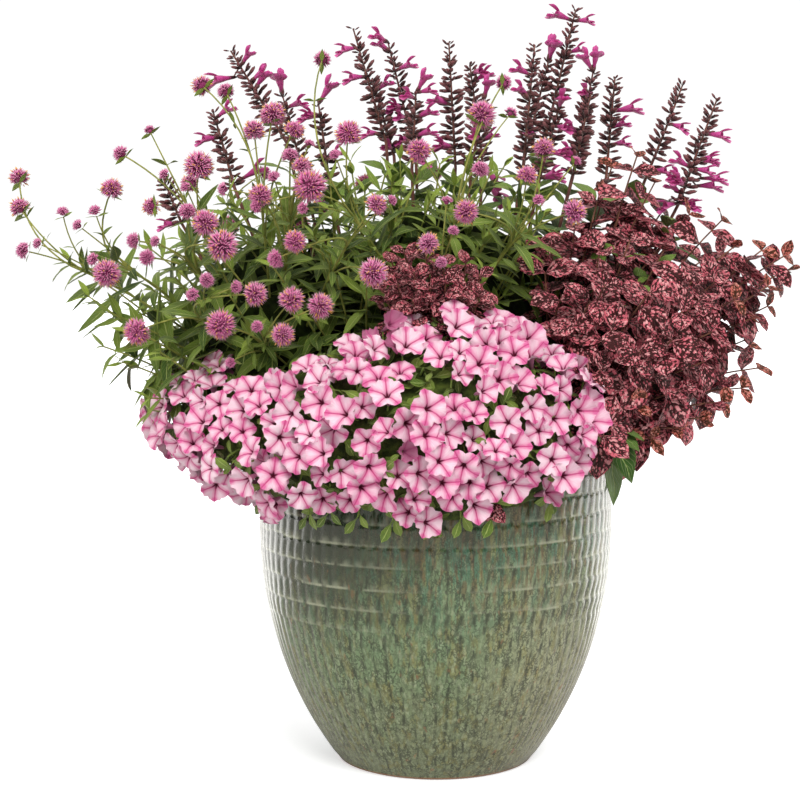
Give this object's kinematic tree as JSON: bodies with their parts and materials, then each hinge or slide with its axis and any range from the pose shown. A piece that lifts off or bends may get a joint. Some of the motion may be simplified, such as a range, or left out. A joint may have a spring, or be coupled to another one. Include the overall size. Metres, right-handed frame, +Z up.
{
  "type": "potted globe amaranth in a mixed planter",
  "caption": "Round green glazed pot packed with globe amaranth, salvia spikes, polka dot plant and petunias spilling over the rim.",
  "frame": {"origin": "middle of the underside of the pot's flat foot", "axes": "+Z up along the pot's axis, -Y towards the side that the petunias spill over, +X to the right seen from there"},
  "size_m": [0.7772, 0.4636, 0.781],
  "materials": {
    "pot_glaze": "gloss",
    "potting_soil": "matte",
    "petunia_bloom": "matte",
    "amaranth_leaf": "satin",
    "amaranth_bloom": "matte",
    "salvia_leaf": "satin",
    "salvia_calyx": "matte",
    "polka_dot_leaf": "satin"
  },
  "bodies": {
    "root": {"pot": "pot_glaze", "soil": "potting_soil", "petunia_1": "petunia_bloom", "petunia_2": "petunia_bloom", "petunia_3": "petunia_bloom", "petunia_4": "petunia_bloom", "petunia_5": "petunia_bloom", "amaranth_foliage_left": "amaranth_leaf", "amaranth_foliage_middle": "amaranth_leaf", "salvia_foliage_left": "salvia_leaf", "salvia_foliage_right": "salvia_leaf", "polka_dot_bush": "polka_dot_leaf", "amaranth_flowers_1": "amaranth_bloom", "amaranth_flowers_2": "amaranth_bloom", "amaranth_flowers_3": "amaranth_bloom", "amaranth_flowers_4": "amaranth_bloom", "amaranth_flowers_5": "amaranth_bloom", "amaranth_flowers_6": "amaranth_bloom", "amaranth_flowers_7": "amaranth_bloom", "amaranth_flowers_8": "amaranth_bloom", "amaranth_flowers_9": "amaranth_bloom", "amaranth_flowers_10": "amaranth_bloom", "amaranth_flowers_11": "amaranth_bloom", "amaranth_flowers_12": "amaranth_bloom", "amaranth_flowers_13": "amaranth_bloom", "amaranth_flowers_14": "amaranth_bloom", "amaranth_flowers_15": "amaranth_bloom", "salvia_spike_1": "salvia_calyx", "salvia_spike_2": "salvia_calyx", "salvia_spike_3": "salvia_calyx", "salvia_spike_4": "salvia_calyx", "salvia_spike_5": "salvia_calyx", "salvia_spike_6": "salvia_calyx", "salvia_spike_7": "salvia_calyx", "salvia_spike_8": "salvia_calyx", "salvia_spike_9": "salvia_calyx", "salvia_spike_10": "salvia_calyx", "salvia_spike_11": "salvia_calyx", "salvia_spike_12": "salvia_calyx", "salvia_spike_13": "salvia_calyx", "salvia_spike_14": "salvia_calyx", "salvia_spike_15": "salvia_calyx", "polka_dot_stem_1": "polka_dot_leaf", "polka_dot_stem_2": "polka_dot_leaf", "polka_dot_stem_3": "polka_dot_leaf", "polka_dot_stem_4": "polka_dot_leaf", "polka_dot_stem_5": "polka_dot_leaf", "polka_dot_stem_6": "polka_dot_leaf", "polka_dot_stem_7": "polka_dot_leaf", "polka_dot_stem_8": "polka_dot_leaf", "polka_dot_stem_9": "polka_dot_leaf", "polka_dot_front": "polka_dot_leaf", "salvia_rim_shoot": "salvia_leaf"}
  },
  "joints": []
}
